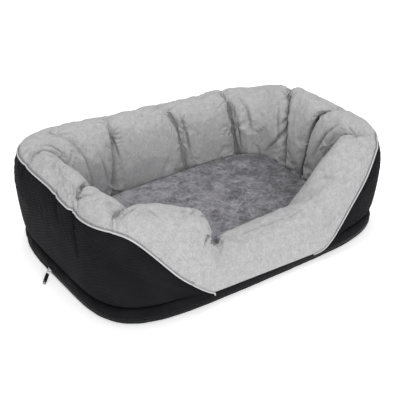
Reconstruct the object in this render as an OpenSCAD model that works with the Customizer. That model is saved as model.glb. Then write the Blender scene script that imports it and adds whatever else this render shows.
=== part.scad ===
// Pet cushion bed: a low zipped base, a padded wall round it that dips at the front entry,
// and a loose plush cushion lying in the well.
//
// +X runs along the bed's long side, -Y is the front entry and +Z is up. The origin is the
// middle of the underside. An angle round the bed is measured from +X towards the back, on
// the outline squared up to a unit square: 45 degrees is always the back right corner.

/* [Base] */
// Length of the base
bed_l = 760; // [660:10:860]
// Width of the base, front to back
bed_w = 520; // [460:10:600]
// Height of the base band
base_h = 39; // [34:1:50]
// How square the outline is: 2 is an ellipse
squareness = 4.6; // [3.6:0.1:6]
// Thickness of the fabric panels
fabric_t = 2; // [1.6:0.1:2.4]

/* [Wall] */
// Height of the wall's crest at the two ends
end_h = 250; // [230:5:270]
// Height of the wall's crest along the back
back_h = 225; // [200:5:230]
// Height of the wall's crest at the front entry
entry_h = 130; // [110:5:150]
// Thickness of the wall at its foot
wall_t = 93; // [80:1:100]
// How far the wall's outer face leans out past the base
lean_out = 21; // [14:1:30]
// How square the wall's section is: 2 is half an ellipse
fullness = 3.2; // [2.6:0.1:4]
// Tucks that part the wall into chambers, as angles round the bed
tuck_angles = [-75, -40, -15, 25, 55, 85, 110, 130, 150, 195, 220, 250];

/* [Piping] */
// Diameter of the covered piping
pipe_d = 5; // [4:0.5:6]
// Diameter of the cord inside the piping
pipe_cord_d = 2.6; // [2:0.1:2.8]
// Height of the piping along the sides and the back, as a part of the crest's height
pipe_level = 0.92; // [0.85:0.01:0.94]
// Half the gap at the front between the two ends of the piping
pipe_gap = 145; // [120:5:170]

/* [Cushion] */
// Height of the cushion's top at its middle
cushion_top = 80; // [72:1:86]
// Gap between the cushion and the wall's foot
cushion_gap = 6; // [4:0.5:10]

/* [Zip] */
// Height of the zip above the floor
zip_z = 14; // [13:0.5:15]
// Distance of the zip's two ends behind the middle of the bed
zip_end_y = 36; // [20:1:50]
// Angle of the pull below the horizontal, as it leans on the floor
pull_droop = 15; // [8:1:15]
// Angle of the pull forward of square to the bed's side
pull_swing = 45; // [20:1:60]
// Turn of the pull about its own length: 0 is flat, -90 is on edge
pull_roll = -50; // [-90:1:-45]

/* [Hidden] */

half_l = bed_l / 2;
half_w = bed_w / 2;

// Wall, offsets outward from the base's edge
seam_in = 7.5;                      // outer seam, set in from the base's edge
foot_in = seam_in + wall_t;         // foot of the inner face
lean_back = 10;                     // how far the inner face leans away from the cushion
lean_curve = 1.3;                   // how much more the outer face leans at its foot than at its top
lining_t = 1.2;
wall_z = base_h + lining_t;         // top of the lining, where the section starts
fill_gap = 1.2;                     // between the filling and its cover
entry_flat = 90;                    // half the level part of the entry's crest
entry_rise = 190;                   // length over which the crest climbs to the ends
back_flat = 220;                    // half the level part of the back's crest
back_rise = 120;
fill_lift = 0.4;                    // between the filling and the lining under it
baffle_turn = 0.12;                 // half a baffle's thickness, in degrees round the bed
fill_turn = 0.2;                    // where a chamber's filling stops short of its tuck
step_turn = 5;                      // degrees between two sections of the wall
face_steps = 3;                     // steps over the section, from the outer seam to the piping
crest_steps = 10;                   // steps from the piping over the crest to the foot
least_face = 12;                    // least angle over the section that the face steps share
outline_points = 96;                // points on a flat panel's outline
strip_step = 3.5;                   // degrees between two points of a strip along the outline
pad_points = 48;                    // points on a ring of the cushion

// Base
panel_gap = 0.2;                    // between the edge of a flat panel and the band
filling_in = 8;                     // how far the filling's edge is set in from the base's edge
filling_gap = 0.3;                  // between the base's filling and the panels over and under it
cut_over = 1;                       // how far a cutting shape runs past what it cuts

// Panels, as places in tuck_angles: the front entry lies between the last tuck and the first
right_end_tuck = 3;
left_start_tuck = 7;
front_start_tuck = len(tuck_angles) - 1;

// Piping
pipe_corner = 20;                   // where the climb ends, short of the side of the bed
pipe_rise = half_l - pipe_corner - pipe_gap;
pipe_past = 20;                     // how far past the gap the piping's end lies, clear of the base
pipe_start = pipe_gap + pipe_past;
pipe_sides = 8;
pipe_clear = 0.3;                   // between the piping and the panels under it
sleeve_gap = 0.2;                   // between the piping's cord and its sleeve
panel_end = pipe_gap + 2;           // where the outer panels end, on each side of the entry

// Cushion
cushion_in = foot_in + cushion_gap;
cushion_z = base_h + 0.4;           // underside, lying on the base
cushion_edge = 22;                  // how far in the edge's rounding reaches
cushion_crown = 6;                  // rise of the top from its edge to its middle
cushion_mid = (cushion_z + cushion_top - cushion_crown) / 2;
plush_t = 5;
cushion_round = 4;                  // steps over the rounding of the edge
crown_steps = [0.7, 0.35, 0.05];    // rings of the crowned top, as parts of its size

// Zip, offsets outward from the base's edge
chain_half = 3;                     // half the chain's width
chain_part = 0.9;                   // half the gap that the slider's post runs in
chain_out = 0.2;
chain_t = 2.4;
tape_out = -0.6;
tape_t = 0.8;
slot_half = 6;                      // half the height of the slot in the band
tape_over = 9;                      // tape beyond each end of the chain
stop_l = 3;
stop_gap = 0.5;                     // between a stop and the end of the chain
slider_l = 14;
slider_w = 10;
wing_t = 1.6;
wing_outer = 0.6;                   // inner face of the outer wing
wing_inner = -3.6;                  // outer face of the inner wing
flange_t = 1.4;
post_t = 1.2;
post_l = 3;
slider_gap = 1;                     // between the slider and the chain's end
slider_y = zip_end_y - slider_l / 2 - slider_gap;
slider_inset = 0.2;                 // how far the flanges stop short of the band's face
grip_gap = 0.1;                     // play of the pull in its grip
bail_r = 5.4;                       // radius of the bail's arch
bail_wire = 0.6;
bail_play = 0.8;                    // between the bail and the crossbar under it
pin_r = 0.65;                       // the pull's crossbar, which turns under the bail
pull_l = 37;
pull_neck_w = 7.2;
neck_over = 2;                      // how far the neck runs under the grip
pull_end_w = 7.6;
pull_t = 1.2;
pull_hole_d = 3.6;
window_l = 6.4;
window_w = 5.8;
grip_from = 8;
grip_to = 27;
grip_w = 8;
grip_t = 2.4;
pivot_x = -(half_l + wing_outer + wing_t + bail_r - bail_wire - bail_play - pin_r);

function numbered(name, i) = str(name, "_", i < 9 ? "0" : "", i + 1);

function lerp(a, b, t) = a + (b - a) * t;

// Smooth step from 0 to 1, level at both ends
function ease(t) = let (c = min(1, max(0, t))) c * c * (3 - 2 * c);

// Point at the angle a of a superellipse with unit half axes
function unit_curve(a, n) =
    let (k = pow(pow(abs(cos(a)), n) + pow(abs(sin(a)), n), -1 / n))
    [k * cos(a), k * sin(a)];

// Point of the bed's outline at the angle a, moved outward from the base's edge
function outline(a, out) =
    let (u = unit_curve(a, squareness))
    [u.x * (half_l + out), u.y * (half_w + out)];

// Ring of points on the outline
function outline_ring(out, count) = [for (i = [0 : count - 1]) outline(360 * i / count, out)];

// Flat strip along the outline from the angle a0 to a1, reaching t inward from the offset out
function outline_strip(a0, a1, out, t) =
    let (n = ceil((a1 - a0) / strip_step))
    concat([for (i = [0 : n]) outline(lerp(a0, a1, i / n), out)],
           [for (i = [n : -1 : 0]) outline(lerp(a0, a1, i / n), out - t)]);

// Height of the wall's crest at the angle a
function crest_h(a) =
    let (p = outline(a, 0))
    p.y < 0 ? lerp(entry_h, end_h, ease((abs(p.x) - entry_flat) / entry_rise))
            : lerp(back_h, end_h, ease((abs(p.x) - back_flat) / back_rise));

// Point of the wall's surface, inset from its outside. The angle s runs over the section: 0 at
// the outer seam, 90 at the crest and 180 at the foot of the inner face.
function wall_point(a, s, inset = 0, foot = wall_z) =
    let (u = unit_curve(s, fullness),
         z = foot + (crest_h(a) - inset - foot) * u.y,
         rise = min(1, (z - base_h) / (end_h - base_h)),
         outer = lerp(-seam_in, lean_out, 1 - pow(1 - rise, lean_curve)),
         inner = lerp(-foot_in, lean_back - foot_in, rise),
         p = outline(a, (outer + inner) / 2 + ((outer - inner) / 2 - inset) * u.x))
    [p.x, p.y, z];

// Height of the seam between the outer panels and the suede
function pipe_z(a) =
    let (p = outline(a, 0), top = wall_z + (crest_h(a) - wall_z) * pipe_level)
    p.y < 0 ? min(top, lerp(wall_z, wall_z + (end_h - wall_z) * pipe_level,
                            ease((abs(p.x) - pipe_gap) / pipe_rise)))
            : top;

// Angle over the section at which that seam lies
function pipe_s(a) =
    let (v = (pipe_z(a) - wall_z) / (crest_h(a) - wall_z))
    atan2(v, pow(1 - pow(v, fullness), 1 / fullness));

// Angles over the section from the outer seam up to the angle s
function face_angles(s) = [for (j = [0 : face_steps]) s * j / face_steps];

// Angles over the section after the angle s, up over the crest and down to the foot
function crest_angles(s) = [for (j = [1 : crest_steps]) lerp(s, 180, j / crest_steps)];

// Section of a cover panel at the angle a: out along its face and back along its lining
function panel_section(a, angles) =
    concat([for (s = angles) wall_point(a, s)],
           [for (j = [len(angles) - 1 : -1 : 0]) wall_point(a, angles[j], fabric_t)]);

// Section of a chamber's filling at the angle a, with corners level with the covers' corners
function fill_section(a) =
    let (s = max(pipe_s(a), least_face))
    [for (t = concat(face_angles(s), crest_angles(s)))
        wall_point(a, t, fabric_t + fill_gap, wall_z + fill_lift)];

// Angles from a0 to a1, stopping at every whole step on the way
function turns(a0, a1) =
    concat(a0, [for (i = [floor(a0 / step_turn) + 1 : ceil(a1 / step_turn) - 1]) i * step_turn], a1);

// Two triangles for the four-sided face a, b, c, d, parted along its shorter diagonal
function quad(p, a, b, c, d) =
    norm(p[a] - p[c]) < norm(p[b] - p[d]) ? [[a, b, c], [a, c, d]] : [[a, b, d], [b, c, d]];

// Solid through a list of rings with the same even number of points. The first and the last
// ring are capped, or joined to each other where the stack is closed.
module ring_stack(rings, closed = false) {
    n = len(rings[0]);
    m = len(rings);
    last = closed ? m - 1 : m - 2;
    end = (m - 1) * n;
    points = [for (r = rings) each r];
    sides = [for (i = [0 : last], j = [0 : n - 1])
        let (k = (j + 1) % n, i2 = (i + 1) % m)
        each quad(points, i * n + j, i2 * n + j, i2 * n + k, i * n + k)];
    caps = closed ? [] : [for (j = [0 : n / 2 - 2])
        each concat(quad(points, j, j + 1, n - 2 - j, n - 1 - j),
                    quad(points, end + n - 1 - j, end + n - 2 - j, end + j + 1, end + j))];
    polyhedron(points = points, faces = concat(sides, caps), convexity = 8);
}

// Flat panel or pad with the bed's outline
module outline_plate(out, z0, z1) {
    translate([0, 0, z0])
        linear_extrude(z1 - z0)
            polygon(outline_ring(out, outline_points));
}

// Upright strip of the band's outline, for the length of the zip and some way past its ends
module zip_strip(over, out, t, z0, z1) {
    a = atan2((zip_end_y + over) / half_w, 1);
    translate([0, 0, z0])
        linear_extrude(z1 - z0)
            polygon(outline_strip(180 - a, 360 + a, out, t));
}

/* Base */

module base_bottom_panel() {
    color("#26262a") outline_plate(-fabric_t - panel_gap, 0, fabric_t);
}

module base_band() {
    color("#232327") difference() {
        outline_plate(0, 0, base_h);
        outline_plate(-fabric_t, -cut_over, base_h + cut_over);
        zip_strip(tape_over, cut_over, fabric_t + 2 * cut_over, zip_z - slot_half, zip_z + slot_half);
    }
}

module base_top_panel() {
    color("#5d5d63") outline_plate(-fabric_t - panel_gap, base_h - fabric_t, base_h);
}

module base_filling() {
    color("#efeee9")
        outline_plate(-filling_in, fabric_t + filling_gap, base_h - fabric_t - filling_gap);
}

/* Zip */

// Lower tape with side = -1, upper tape with side = 1
module zip_tape(side) {
    z = zip_z + side * chain_half;
    edge = zip_z + side * slot_half;
    color("#1b1b1e") zip_strip(tape_over, tape_out, tape_t, min(z, edge), max(z, edge));
}

module zip_chain(side) {
    z = zip_z + side * chain_part;
    edge = zip_z + side * chain_half;
    color("#111113") zip_strip(0, chain_out, chain_t, min(z, edge), max(z, edge));
}

module zip_end_stops() {
    color("#9a9da3")
        for (side = [-1, 1])
            translate([side * (half_l - chain_t / 2 + chain_out), zip_end_y + stop_l / 2 + stop_gap, zip_z])
                cube([chain_t, stop_l, 2 * chain_half], center = true);
}

module zip_slider() {
    x = -half_l;
    wings = [[x - wing_outer - wing_t, wing_t], [x - wing_inner, wing_t]];
    color("#b9bcc2") translate([0, slider_y, zip_z]) {
        for (w = wings)
            translate([w[0], 0, 0])
                rotate([90, 0, 90])
                    linear_extrude(w[1])
                        square([slider_l, slider_w], center = true);
        for (side = [-1, 1])
            translate([x - wing_outer, -slider_l / 2, side * (slider_w - flange_t) / 2 - flange_t / 2])
                cube([wing_outer - slider_inset, slider_l, flange_t]);
        translate([x - wing_outer, slider_l / 2 - post_l, -post_t / 2])
            cube([wing_outer - wing_inner, post_l, post_t]);
    }
}

// Arch of wire on the slider's outer wing, running along the zip
module zip_bail() {
    color("#c3c6cb")
        translate([-half_l - wing_outer - wing_t, slider_y, zip_z])
            rotate([0, 0, 90])
                rotate_extrude(angle = 180, $fn = 48)
                    translate([bail_r, 0])
                        circle(bail_wire, $fn = 20);
}

// Puts a shape drawn flat along +X from the pull's crossbar in its place under the bail
module at_pull() {
    translate([pivot_x, slider_y, zip_z])
        rotate([0, 0, 180 + pull_swing])
            rotate([pull_roll, pull_droop, 0])
                children();
}

module pull_outline() {
    difference() {
        union() {
            translate([0, -pull_neck_w / 2]) square([grip_from + neck_over, pull_neck_w]);
            polygon([[grip_from, -pull_neck_w / 2], [pull_l - pull_end_w / 2, -pull_end_w / 2],
                     [pull_l - pull_end_w / 2, pull_end_w / 2], [grip_from, pull_neck_w / 2]]);
            translate([pull_l - pull_end_w / 2, 0]) circle(d = pull_end_w, $fn = 40);
        }
        translate([0, -window_w / 2]) square([window_l, window_w]);
        translate([pull_l - pull_end_w / 2, 0]) circle(d = pull_hole_d, $fn = 40);
    }
}

module zip_pull() {
    color("#b4b7bd") at_pull() {
        linear_extrude(pull_t, center = true) pull_outline();
        rotate([90, 0, 0]) cylinder(r = pin_r, h = pull_neck_w, center = true, $fn = 24);
    }
}

module zip_pull_grip() {
    color("#141416") at_pull()
        difference() {
            translate([(grip_from + grip_to) / 2, 0, 0])
                cube([grip_to - grip_from, grip_w, grip_t], center = true);
            linear_extrude(pull_t + grip_gap, center = true) pull_outline();
        }
}

/* Wall */

module wall_lining() {
    color("#d8d7d2") difference() {
        outline_plate(-seam_in, base_h, wall_z);
        outline_plate(-foot_in, base_h - cut_over, wall_z + cut_over);
    }
}

// Black panel of the outer face, below the piping
module outer_panel(a0, a1) {
    color("#2c2c32")
        ring_stack([for (a = turns(a0, a1)) panel_section(a, face_angles(pipe_s(a)))]);
}

// Grey panel from the piping, or from the seam, over the crest to the foot of the inner face
module suede_panel(a0, a1) {
    color("#b9b9bb")
        ring_stack([for (a = turns(a0, a1))
            panel_section(a, concat(pipe_s(a), crest_angles(max(pipe_s(a), least_face))))]);
}

// Angle on the front at which the distance x from the middle is reached
function front_angle(x) = -atan2(1, x / half_l);

// Centre line of the piping, lying on the seam from the front right round to the front left
function pipe_path() =
    let (a0 = front_angle(pipe_start), a1 = 180 - a0)
    [for (a = turns(a0, a1)) wall_point(a, pipe_s(a), -(pipe_d / 2 + pipe_clear))];

// Ring of the radius r round the point i of a path, square to the path
function tube_ring(path, i, r) =
    let (ahead = path[min(i + 1, len(path) - 1)] - path[max(i - 1, 0)],
         along = ahead / norm(ahead),
         flat = cross([0, 0, 1], along),
         side = flat / norm(flat),
         up = cross(along, side))
    [for (j = [0 : pipe_sides - 1])
        let (t = 360 * j / pipe_sides) path[i] + r * (cos(t) * side + sin(t) * up)];

module piping_cord() {
    path = pipe_path();
    color("#f1f0ec") ring_stack([for (i = [0 : len(path) - 1]) tube_ring(path, i, pipe_cord_d / 2)]);
}

module piping_sleeve() {
    path = pipe_path();
    outside = [for (i = [0 : len(path) - 1]) tube_ring(path, i, pipe_d / 2)];
    inside = [for (i = [len(path) - 1 : -1 : 0]) tube_ring(path, i, pipe_cord_d / 2 + sleeve_gap)];
    color("#cfcfd2") ring_stack(concat(outside, inside), closed = true);
}

// Filling of the chamber that starts at tuck i
module wall_fill(i) {
    a0 = tuck_angles[i] + fill_turn;
    a1 = (i + 1 < len(tuck_angles) ? tuck_angles[i + 1] : tuck_angles[0] + 360) - fill_turn;
    color("#f4f3ee")
        ring_stack([for (a = turns(a0, a1)) fill_section(a)]);
}

// Fabric divider across the wall at tuck i
module baffle(i) {
    color("#c9c8c2")
        ring_stack([for (turn = [-baffle_turn, baffle_turn]) fill_section(tuck_angles[i] + turn)]);
}

/* Cushion */

// Ring on the rounding of the cushion's edge: q is 90 at the top, 0 at the seam and -90 below
function edge_ring(q, inset) =
    let (half_h = cushion_mid - cushion_z - inset,
         out = -cushion_in - cushion_edge + (cushion_edge - inset) * cos(q))
    [for (p = outline_ring(out, pad_points)) [p.x, p.y, cushion_mid + half_h * sin(q)]];

// Ring on the crowned top, shrunk towards the middle by the factor f
function crown_ring(f, inset) =
    let (z = cushion_top - cushion_crown * f * f - inset)
    [for (p = outline_ring(-cushion_in - cushion_edge, pad_points)) [p.x * f, p.y * f, z]];

// Rings over the edge between two angles
function edge_rings(q0, q1, inset) =
    [for (i = [0 : cushion_round]) edge_ring(lerp(q0, q1, i / cushion_round), inset)];

module cushion_plush_top() {
    last = len(crown_steps) - 1;
    color("#8b8a92")
        ring_stack(concat(
            [for (i = [last : -1 : 0]) crown_ring(crown_steps[i], plush_t)],
            edge_rings(90, 0, plush_t),
            edge_rings(0, 90, 0),
            [for (f = crown_steps) crown_ring(f, 0)]));
}

module cushion_underside() {
    color("#3a3a3f")
        ring_stack(concat(edge_rings(-90, 0, fabric_t), edge_rings(0, -90, 0)));
}

module cushion_filling() {
    core = plush_t + fill_gap;
    color("#f2f1ec")
        ring_stack(concat(
            edge_rings(-90, 90, core),
            [for (f = crown_steps) crown_ring(f, core)]));
}

base_bottom_panel();
base_band();
base_top_panel();
base_filling();
zip_tape(-1);  // zip_tape_lower
zip_tape(1);  // zip_tape_upper
zip_chain(-1);  // zip_chain_lower
zip_chain(1);  // zip_chain_upper
zip_end_stops();
zip_slider();
zip_bail();
zip_pull();
zip_pull_grip();
wall_lining();
outer_panel(tuck_angles[left_start_tuck], 180 - front_angle(panel_end));  // outer_panel_left
outer_panel(tuck_angles[right_end_tuck], tuck_angles[left_start_tuck]);  // outer_panel_back
outer_panel(front_angle(panel_end), tuck_angles[right_end_tuck]);  // outer_panel_right
suede_panel(tuck_angles[left_start_tuck], tuck_angles[front_start_tuck]);  // suede_panel_left
suede_panel(tuck_angles[right_end_tuck], tuck_angles[left_start_tuck]);  // suede_panel_back
suede_panel(tuck_angles[0], tuck_angles[right_end_tuck]);  // suede_panel_right
suede_panel(tuck_angles[front_start_tuck], tuck_angles[0] + 360);  // suede_panel_front
piping_cord();
piping_sleeve();
cushion_plush_top();
cushion_underside();
cushion_filling();
for (i = [0 : len(tuck_angles) - 1])
    wall_fill(i);
for (i = [0 : len(tuck_angles) - 1])
    baffle(i);
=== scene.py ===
"""Pet cushion bed: fabric, padding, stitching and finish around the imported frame.

The wall is one closed tube of cloth, inflated by a short cloth simulation between its tucks. It is then cut
along its seams into the grey suede panels and the black outer panels. Metres, +Z up, entry at -Y.
"""
import math

import bpy
import numpy as np
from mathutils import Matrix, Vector


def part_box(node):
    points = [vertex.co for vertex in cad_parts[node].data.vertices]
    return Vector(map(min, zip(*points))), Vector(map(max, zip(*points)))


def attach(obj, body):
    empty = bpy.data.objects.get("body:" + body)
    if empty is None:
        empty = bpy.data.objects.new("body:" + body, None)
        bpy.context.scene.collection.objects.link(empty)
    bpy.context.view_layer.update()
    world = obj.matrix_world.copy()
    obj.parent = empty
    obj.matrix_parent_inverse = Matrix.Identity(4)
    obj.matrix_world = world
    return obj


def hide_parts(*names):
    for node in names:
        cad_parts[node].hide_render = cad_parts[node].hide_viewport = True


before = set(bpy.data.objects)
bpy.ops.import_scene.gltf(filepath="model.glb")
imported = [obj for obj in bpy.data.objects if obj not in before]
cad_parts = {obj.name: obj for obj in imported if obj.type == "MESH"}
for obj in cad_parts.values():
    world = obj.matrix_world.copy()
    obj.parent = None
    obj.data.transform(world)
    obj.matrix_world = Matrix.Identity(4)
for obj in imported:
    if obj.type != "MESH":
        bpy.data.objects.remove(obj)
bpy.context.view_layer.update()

MM = 0.001

# Sizes read from the frame
HALF_L, HALF_W, BASE_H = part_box("base_band")[1]
LINING_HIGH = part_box("wall_lining")[1]
SEAM_IN = HALF_L - LINING_HIGH.x  # the wall's outer seam, set in from the base's edge
WALL_FOOT = LINING_HIGH.z
END_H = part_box("suede_panel_left")[1].z
CUSHION_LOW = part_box("cushion_underside")[0]
CUSHION_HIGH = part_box("cushion_plush_top")[1]
CUSHION_IN = HALF_L - CUSHION_HIGH.x  # the cushion's edge, set in from the base's edge
ZIP_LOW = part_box("zip_tape_lower")[0]
ZIP_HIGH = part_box("zip_tape_upper")[1]
CHAIN_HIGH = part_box("zip_chain_upper")[1]

# The wall's form, as in the design
SQUARENESS = 4.6
FULLNESS = 3.2
ENTRY_FULLNESS = 2.3
FOOT_IN = SEAM_IN + 93 * MM
LEAN_OUT = 20 * MM
LEAN_CURVE = 1.3
FOOT_ROLL = 8 * MM  # how far the outer face rolls out just over its seam
LEAN_BACK = 10 * MM

# The flap at the front entry, which hangs over the base's seam
FLAP_HALF = 240 * MM  # half its length
FLAP_EASE = 95 * MM  # length over which it fades into the wall at each end
FLAP_LOW = (31 * MM, 21 * MM)  # height of its lower edge at the left and the right
FLAP_OUT = 8 * MM  # how far it stands out

# The piping between the suede and the black panels
PIPE_LEVEL = 0.92  # its height along the sides and back, as a part of the crest's
PIPE_GAP = 145 * MM  # from the middle of the entry to its left end
PIPE_GAP_RIGHT = 122 * MM  # and to its right end
PIPE_TOP = HALF_L - 20 * MM  # where the climb ends
PIPE_STRAIGHT = 0.45  # part of the left climb that starts off straight and not level
PIPE_BLEND = 0.3 * HALF_W  # how far before the middle of each side the climb takes over
PIPE_R = 1.7 * MM
PIPE_BEND = 8 * MM  # how softly it turns from its climb to the level stretch
PIPE_STEP = 3 * MM
PIPE_SIDES = 12
PIPE_TIP = [(0.6 * MM, -0.4 * MM, -2.4 * MM), (1.0 * MM, -0.2 * MM, -6.0 * MM)]

# How this bed is stuffed: angle round the bed, and the crest's height as a part of the ends' height
CREST = [
    (0, 0.96), (20, 0.94), (32, 0.88), (46, 0.79), (58, 0.85), (66, 0.83), (74, 0.85), (90, 0.88),
    (105, 0.90), (120, 0.95), (140, 1.0), (180, 1.03), (215, 1.03), (231, 0.98), (240, 0.87), (245.5, 0.82),
    (248, 0.70), (251.5, 0.46), (261, 0.48), (283, 0.50), (292, 0.55), (300, 0.69), (305, 0.85), (312, 0.94),
    (330, 0.96),
]
CREST_BLUR = np.linspace(-1.8, 1.8, 7)  # degrees over which the crest's heights are averaged

# Tucks: angle at the piping, the crest and the foot; depth in mm at the crest and on the inner face;
# rise in mm of the chamber that follows
TUCKS = [
    (-74, -74, -72, 2, 2, 0),
    (-41, -42, -31, 9, 15, 3),
    (-17, -16, -7, 9, 14, 3),
    (27, 26, 14, 20, 27, 3),
    (57, 56, 49, 13, 20, 3),
    (84, 84, 75, 4, 13, 3),
    (108, 109, 117, 3, 12, 3),
    (131, 130, 127, 2, 4, 2),
    (156, 147, 137, 14, 10, 4),
    (203, 195, 190, 14, 10, 4),
    (220, 220, 226, 14, 8, 3),
    (249, 251.8, 256, 17, 14, 0),
]
SEAM_S, CREST_S, FOOT_S = 60, 96, 175  # places on the section that those angles belong to
# The place on the section, and the parts of a tuck's crest depth and inner depth that it has there
TUCK_PROFILE = [
    (0, 0, 0), (40, 0, 0), (62, 0.35, 0), (90, 1, 0), (112, 0.65, 0.35), (135, 0, 1), (166, 0, 0.95),
    (174, 0, 0.85), (180, 0, 0.5),
]
TUCK_WIDTH = 14 * MM
TUCK_PIN = 6 * MM  # how far from a tuck the cloth is still held
TUCK_LINE = 4 * MM  # width of the sharp fold along a tuck
TUCK_SHADE = 1.4 * MM  # width of the painted shade in it
FULL_TUCK = 20 * MM  # depth of a tuck that is held fast
COLUMN = 7 * MM  # spacing of the cloth's columns, before refining
CROWDING = 0.55  # how much closer the columns stand near a tuck
FACE_ROWS = 28  # rows below the piping, above it and underneath
CREST_ROWS = 46
BOTTOM_ROWS = 12
EVEN_ROW = FACE_ROWS + 6  # row along which the columns' spacing is measured
PATH_STEPS = 160  # fine steps along the section, and between two tucks
ARC_STEPS = 60
LEAST_SPLIT = 12  # least place on the section that the face's rows share
FINE_COLUMNS = 4  # columns and rows of the finished wall to each one simulated
FINE_ROWS = 3

CLOTH_SETTINGS = {
    "quality": 5, "mass": 0.3, "tension_stiffness": 20, "compression_stiffness": 20, "shear_stiffness": 8,
    "bending_stiffness": 0.5, "use_pressure": True, "uniform_pressure_force": 3, "shrink_min": -0.03,
    "pin_stiffness": 1,
}
INFLATE_FRAMES = 20
INFLATE_CAP = 13 * MM  # the furthest that a point may move
HEM = 2 * MM
SUEDE_ROWS, OUTER_ROWS = 150, 60  # rows of the finished panels
EDGE_CROWD = 0.45  # spacing of those rows at the lower edge, as a part of even
STITCH_ROW = 2.2  # rows of the finished wall between the piping and its stitches
STITCH_LENGTH, STITCH_GAP, STITCH_R = 3.2 * MM, 1.3 * MM, 0.45 * MM
STITCH_OUT = 0.2 * MM
STITCH_SIDES = 5
STITCH_POINTS = 6  # points from one stitch to the next
STITCH_TAPER = np.array([0.5, 1, 1, 1, 0.5])
SEAM_SHADE, SEAM_ROWS = 0.75, 1.5  # how dark the painted shade in the ditch beside the piping is, and its rows
FRILL_SIDES = (-1, 1) * 5  # sides of a tuck that its small wrinkles run out to
PINCH_SQUEEZE = 1.9  # how much narrower a pinch is than it is tall
CREASE_STEP = 2.5 * MM
DEEP_CREASE = 7  # depth in mm of a crease that is fully in painted shade

# Short creases: angle and place on the section at each end; depth and width in mm
CREASES = [
    (197, 60, 187, 74, 2.4, 2.6),
    (199, 66, 189, 86, 2.4, 2.6),
    (198, 74, 191, 97, 2.2, 2.6),
    (201, 70, 206, 96, 2.0, 2.6),
    (208, 70, 213, 92, 1.8, 2.6),
    (258, 87, 291, 74, 3.6, 3.0),
    (249, 74, 245.5, 44, 7, 3.4),
    (251, 84, 248.5, 60, 6, 3.0),
    (247.5, 106, 244.5, 82, 4.5, 2.8),
    (244, 106, 241.5, 86, 3.8, 2.8),
    (240.5, 104, 239, 90, 2.6, 2.6),
    (50, 140, 48, 166, 5, 4),
    (48, 118, 42, 154, 5, 5),
    (52, 104, 47, 128, 3, 4),
    (18, 98, 17, 144, 7, 4.5),
    (33, 168, 17, 148, 6, 5),
    (30, 90, 22, 112, 5, 4),
    (28, 128, 22, 160, 4, 4),
    (328, 118, 337, 156, 6, 5),
    (344, 104, 351, 146, 5, 4.5),
    (172, 80, 166, 100, 3, 5),
    (144, 96, 137, 140, 5, 5),
    (149, 100, 146, 126, 3, 4),
    (78, 118, 73, 166, 5, 4),
    (86, 112, 80, 134, 3, 4),
    (113, 112, 112, 150, 5, 4),
    (122, 142, 119, 168, 4, 4),
    (97, 104, 95, 122, 2, 4),
    (300, 112, 300, 76, 2, 5),
    (298, 92, 290, 66, 1.5, 4),
    (312, 102, 322, 88, 2.4, 4),
    (226, 104, 222, 66, 4, 4),
    (229, 96, 233, 72, 3, 4),
    (205, 26, 199.5, 59, 10, 5),
    (190, 40, 187, 59, 5, 5),
    (208, 96, 200, 64, 4, 4),
    (158, 60, 151, 92, 4, 5),
    (150, 62, 145, 84, 3, 4),
]

# Pinches: angle and place on the section; reach and height in mm and number of the wrinkles round each
PINCHES = [
    (50, 148, 26, 1.9, 7),
    (20, 140, 24, 1.9, 7),
    (77, 152, 20, 1.5, 5),
    (117, 158, 18, 1.4, 5),
    (138, 140, 18, 1.8, 7),
    (200, 78, 20, 1.6, 5),
    (228, 84, 20, 1.5, 5),
    (221, 80, 15, 2.0, 7),
    (243, 98, 16, 1.6, 6),
    (256, 96, 14, 1.4, 6),
    (327, 142, 16, 1.8, 7),
    (344, 118, 16, 1.6, 6),
    (27, 92, 18, 1.8, 7),
    (150, 92, 16, 1.5, 6),
]

LOOK_AT = (0, 0, 0.1)
FLOOR_HALF, FLOOR_GAP = 30.0, 0.5 * MM

# The band from the floor up: height and distance out in mm, and share of the puckers
BAND_SECTION = [
    (0, -14, 0), (0, -9, 0), (0.5, -6.5, 0.1), (2.4, -4.2, 0.5), (5, -2.4, 0.5), (8, -1.2, 0), (14, -0.9, 0),
    (20, -0.8, 0), (22.5, -0.2, 0.5), (26, 0.3, 1), (30, 0.2, 1), (34, -0.8, 1), (37, -2.6, 0.7),
    (39, -5.5, 0.3), (39.3, -10, 0),
]
BAND_COLUMNS = 480
SLOT_ROWS = (5, 7)  # rows of the band between which the zip's slot is open
PUCKER_SQUEEZE = 0.45  # puckers are longer upward than round the band
BAND_THICK = 0.8 * MM
PANEL_IN = 8.5 * MM  # the base's flat panels, set in from its edge
PANEL_GRID = (120, 84)
DECK_DROP = 0.9 * MM  # the deck, below the base's top

# The zip
TAPE_IN = 0.9 * MM  # the tape's face, set in from the base's edge
TAPE_EDGES = (2.2 * MM, 7 * MM)  # the tape's two edges, above and below the zip's middle
TAPE_THICK = 0.5 * MM
TAPE_LIP = 0.15 * MM  # how far its sewn edge lies further in
TAPE_COLUMNS, TAPE_ROWS = 700, 6
TOOTH_PITCH = 3 * MM
TOOTH_SPAN = (-1.6 * MM, 0.2 * MM)  # the teeth's inner and outer faces, out from the base's edge
TOOTH_EDGES = (0.75 * MM, 3 * MM)  # the teeth's tips and roots, above and below the zip's middle
TOOTH_HALF = 0.32 * TOOTH_PITCH
TOOTH_TIP = 0.8  # width of a tooth's tip, as a part of its root's
TOOTH_FACE = 0.65  # width of a tooth's outer face, as a part of its inner one's
TOOTH_ROUND = 0.25 * MM

# The cushion
EDGE_LEVEL = 0.42  # height of its sewn edge, as a part of its thickness
EDGE_ROUND = 13 * MM
EDGE_FROM = 0.91  # where its rounded edge starts, from the middle
EDGE_GAP = CUSHION_IN + 0.8 * MM
CUSHION_CLEAR = 1.5 * MM
CROWN_DROP = 5 * MM
TOP_DROP = 1.5 * MM
TOP_GRID, UNDER_GRID = (230, 134), (110, 64)


# ---------------- numbers and grids

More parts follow.
